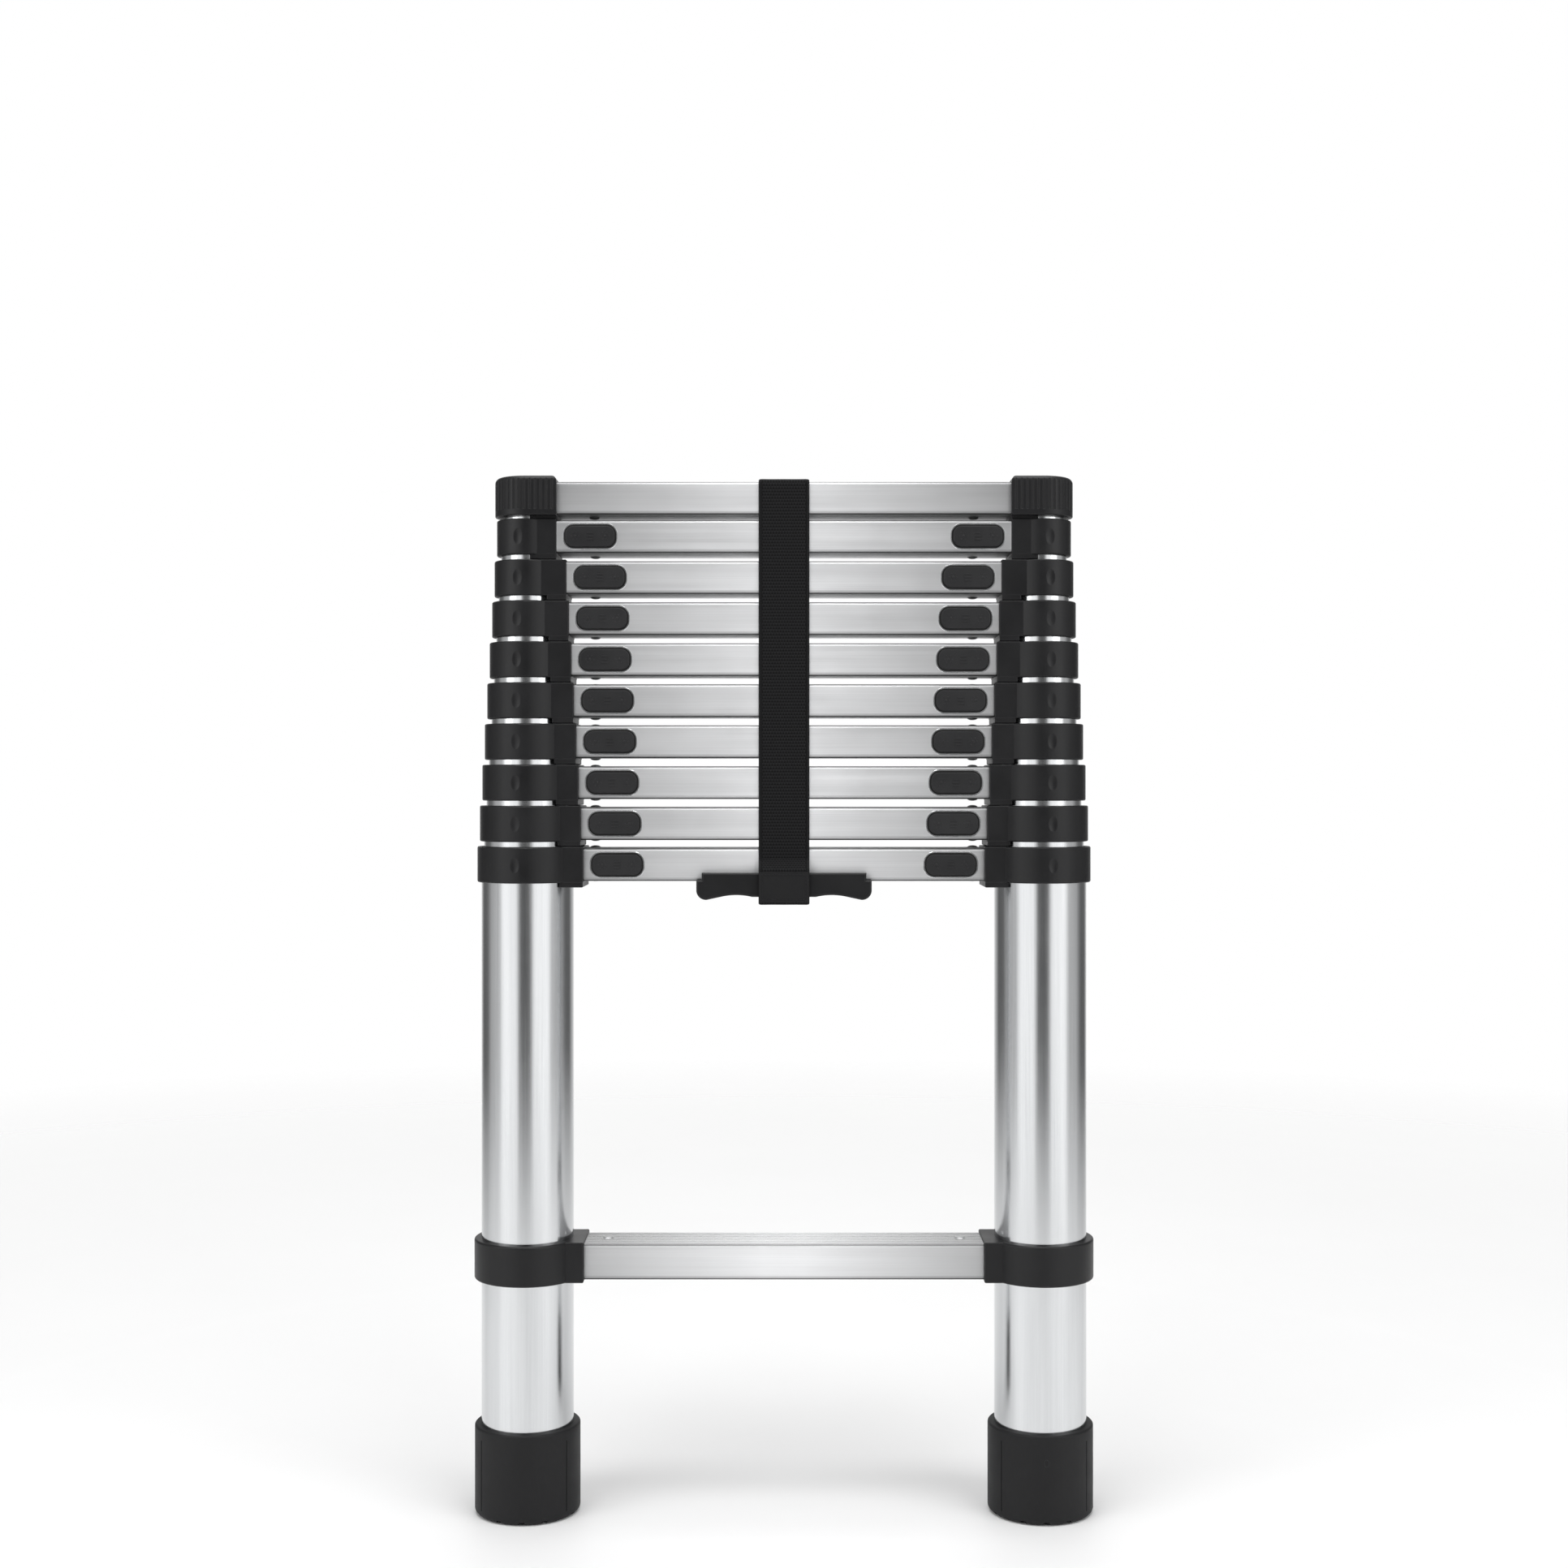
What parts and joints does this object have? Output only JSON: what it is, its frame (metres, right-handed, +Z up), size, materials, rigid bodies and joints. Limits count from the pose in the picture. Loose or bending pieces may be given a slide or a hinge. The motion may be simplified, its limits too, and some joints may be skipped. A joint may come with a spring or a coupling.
{
  "type": "telescopic ladder",
  "caption": "Telescopic extension ladder: nested aluminium stile tubes, collared rungs with sprung release buttons, rubber feet, carrying handle and webbing strap.",
  "frame": {"origin": "on the floor, midway between the two feet", "axes": "+Z up along the stiles, +X across the rungs to the right seen from the front, -Y towards the front, where the release buttons are"},
  "size_m": [0.4728, 0.0808, 0.787],
  "materials": {
    "stile_aluminium": "satin",
    "rung_aluminium": "brushed",
    "black_plastic": "fine texture",
    "cap_plastic": "fluted",
    "button_plastic": "satin",
    "foot_rubber": "matte",
    "handle_plastic": "fine texture",
    "zinc_steel": "zinc",
    "webbing": "woven"
  },
  "bodies": {
    "section_0": {"section_0_stiles": "stile_aluminium", "rung_0": "rung_aluminium", "rung_0_clamps": "black_plastic", "rung_1": "rung_aluminium", "rung_1_collars": "black_plastic", "left_foot": "foot_rubber", "right_foot": "foot_rubber", "handle": "handle_plastic", "handle_screws": "zinc_steel", "strap_sleeve": "webbing"},
    "section_1": {"section_1_stiles": "stile_aluminium", "rung_2": "rung_aluminium", "rung_2_collars": "black_plastic"},
    "section_2": {"section_2_stiles": "stile_aluminium", "rung_3": "rung_aluminium", "rung_3_collars": "black_plastic"},
    "section_3": {"section_3_stiles": "stile_aluminium", "rung_4": "rung_aluminium", "rung_4_collars": "black_plastic"},
    "section_4": {"section_4_stiles": "stile_aluminium", "rung_5": "rung_aluminium", "rung_5_collars": "black_plastic"},
    "section_5": {"section_5_stiles": "stile_aluminium", "rung_6": "rung_aluminium", "rung_6_collars": "black_plastic"},
    "section_6": {"section_6_stiles": "stile_aluminium", "rung_7": "rung_aluminium", "rung_7_collars": "black_plastic"},
    "section_7": {"section_7_stiles": "stile_aluminium", "rung_8": "rung_aluminium", "rung_8_collars": "black_plastic"},
    "section_8": {"section_8_stiles": "stile_aluminium", "rung_9": "rung_aluminium", "rung_9_collars": "black_plastic"},
    "section_9": {"section_9_stiles": "stile_aluminium", "rung_10": "rung_aluminium", "top_caps": "cap_plastic"},
    "button_left_1": {"release_button_left_1": "button_plastic"},
    "button_right_1": {"release_button_right_1": "button_plastic"},
    "button_left_2": {"release_button_left_2": "button_plastic"},
    "button_right_2": {"release_button_right_2": "button_plastic"},
    "button_left_3": {"release_button_left_3": "button_plastic"},
    "button_right_3": {"release_button_right_3": "button_plastic"},
    "button_left_4": {"release_button_left_4": "button_plastic"},
    "button_right_4": {"release_button_right_4": "button_plastic"},
    "button_left_5": {"release_button_left_5": "button_plastic"},
    "button_right_5": {"release_button_right_5": "button_plastic"},
    "button_left_6": {"release_button_left_6": "button_plastic"},
    "button_right_6": {"release_button_right_6": "button_plastic"},
    "button_left_7": {"release_button_left_7": "button_plastic"},
    "button_right_7": {"release_button_right_7": "button_plastic"},
    "button_left_8": {"release_button_left_8": "button_plastic"},
    "button_right_8": {"release_button_right_8": "button_plastic"},
    "button_left_9": {"release_button_left_9": "button_plastic"},
    "button_right_9": {"release_button_right_9": "button_plastic"},
    "strap_loop": {"strap": "webbing"}
  },
  "joints": [
    {"name": "section_1_slide", "type": "slide", "parent": "section_0", "child": "section_1", "axis": [0, 0, 1], "range_m": [0, 0.269]},
    {"name": "section_2_slide", "type": "slide", "parent": "section_1", "child": "section_2", "axis": [0, 0, 1], "range_m": [0, 0.269]},
    {"name": "section_3_slide", "type": "slide", "parent": "section_2", "child": "section_3", "axis": [0, 0, 1], "range_m": [0, 0.269]},
    {"name": "section_4_slide", "type": "slide", "parent": "section_3", "child": "section_4", "axis": [0, 0, 1], "range_m": [0, 0.269]},
    {"name": "section_5_slide", "type": "slide", "parent": "section_4", "child": "section_5", "axis": [0, 0, 1], "range_m": [0, 0.269]},
    {"name": "section_6_slide", "type": "slide", "parent": "section_5", "child": "section_6", "axis": [0, 0, 1], "range_m": [0, 0.269]},
    {"name": "section_7_slide", "type": "slide", "parent": "section_6", "child": "section_7", "axis": [0, 0, 1], "range_m": [0, 0.269]},
    {"name": "section_8_slide", "type": "slide", "parent": "section_7", "child": "section_8", "axis": [0, 0, 1], "range_m": [0, 0.269]},
    {"name": "section_9_slide", "type": "slide", "parent": "section_8", "child": "section_9", "axis": [0, 0, 1], "range_m": [0, 0.269]},
    {"name": "button_left_1_slide", "type": "slide", "parent": "section_0", "child": "button_left_1", "axis": [1, 0, 0], "range_m": [0, 0.005], "stiffness_N_per_m": 250, "springref_m": -0.006},
    {"name": "button_right_1_slide", "type": "slide", "parent": "section_0", "child": "button_right_1", "axis": [-1, 0, 0], "range_m": [0, 0.005], "stiffness_N_per_m": 250, "springref_m": -0.006},
    {"name": "button_left_2_slide", "type": "slide", "parent": "section_1", "child": "button_left_2", "axis": [1, 0, 0], "range_m": [0, 0.005], "stiffness_N_per_m": 250, "springref_m": -0.006},
    {"name": "button_right_2_slide", "type": "slide", "parent": "section_1", "child": "button_right_2", "axis": [-1, 0, 0], "range_m": [0, 0.005], "stiffness_N_per_m": 250, "springref_m": -0.006},
    {"name": "button_left_3_slide", "type": "slide", "parent": "section_2", "child": "button_left_3", "axis": [1, 0, 0], "range_m": [0, 0.005], "stiffness_N_per_m": 250, "springref_m": -0.006},
    {"name": "button_right_3_slide", "type": "slide", "parent": "section_2", "child": "button_right_3", "axis": [-1, 0, 0], "range_m": [0, 0.005], "stiffness_N_per_m": 250, "springref_m": -0.006},
    {"name": "button_left_4_slide", "type": "slide", "parent": "section_3", "child": "button_left_4", "axis": [1, 0, 0], "range_m": [0, 0.005], "stiffness_N_per_m": 250, "springref_m": -0.006},
    {"name": "button_right_4_slide", "type": "slide", "parent": "section_3", "child": "button_right_4", "axis": [-1, 0, 0], "range_m": [0, 0.005], "stiffness_N_per_m": 250, "springref_m": -0.006},
    {"name": "button_left_5_slide", "type": "slide", "parent": "section_4", "child": "button_left_5", "axis": [1, 0, 0], "range_m": [0, 0.005], "stiffness_N_per_m": 250, "springref_m": -0.006},
    {"name": "button_right_5_slide", "type": "slide", "parent": "section_4", "child": "button_right_5", "axis": [-1, 0, 0], "range_m": [0, 0.005], "stiffness_N_per_m": 250, "springref_m": -0.006},
    {"name": "button_left_6_slide", "type": "slide", "parent": "section_5", "child": "button_left_6", "axis": [1, 0, 0], "range_m": [0, 0.005], "stiffness_N_per_m": 250, "springref_m": -0.006},
    {"name": "button_right_6_slide", "type": "slide", "parent": "section_5", "child": "button_right_6", "axis": [-1, 0, 0], "range_m": [0, 0.005], "stiffness_N_per_m": 250, "springref_m": -0.006},
    {"name": "button_left_7_slide", "type": "slide", "parent": "section_6", "child": "button_left_7", "axis": [1, 0, 0], "range_m": [0, 0.005], "stiffness_N_per_m": 250, "springref_m": -0.006},
    {"name": "button_right_7_slide", "type": "slide", "parent": "section_6", "child": "button_right_7", "axis": [-1, 0, 0], "range_m": [0, 0.005], "stiffness_N_per_m": 250, "springref_m": -0.006},
    {"name": "button_left_8_slide", "type": "slide", "parent": "section_7", "child": "button_left_8", "axis": [1, 0, 0], "range_m": [0, 0.005], "stiffness_N_per_m": 250, "springref_m": -0.006},
    {"name": "button_right_8_slide", "type": "slide", "parent": "section_7", "child": "button_right_8", "axis": [-1, 0, 0], "range_m": [0, 0.005], "stiffness_N_per_m": 250, "springref_m": -0.006},
    {"name": "button_left_9_slide", "type": "slide", "parent": "section_8", "child": "button_left_9", "axis": [1, 0, 0], "range_m": [0, 0.005], "stiffness_N_per_m": 250, "springref_m": -0.006},
    {"name": "button_right_9_slide", "type": "slide", "parent": "section_8", "child": "button_right_9", "axis": [-1, 0, 0], "range_m": [0, 0.005], "stiffness_N_per_m": 250, "springref_m": -0.006},
    {"name": "strap_drop", "type": "slide", "parent": "section_0", "child": "strap_loop", "axis": [0, 0, -1], "range_m": [0, 0.32], "deforming": ["strap"]}
  ],
  "couplings": [
    {"joint": "section_2_slide", "follows": "section_1_slide", "ratio": 1},
    {"joint": "section_3_slide", "follows": "section_1_slide", "ratio": 1},
    {"joint": "section_4_slide", "follows": "section_1_slide", "ratio": 1},
    {"joint": "section_5_slide", "follows": "section_1_slide", "ratio": 1},
    {"joint": "section_6_slide", "follows": "section_1_slide", "ratio": 1},
    {"joint": "section_7_slide", "follows": "section_1_slide", "ratio": 1},
    {"joint": "section_8_slide", "follows": "section_1_slide", "ratio": 1},
    {"joint": "section_9_slide", "follows": "section_1_slide", "ratio": 1},
    {"joint": "strap_drop", "follows": "section_1_slide", "ratio": 1.189}
  ]
}
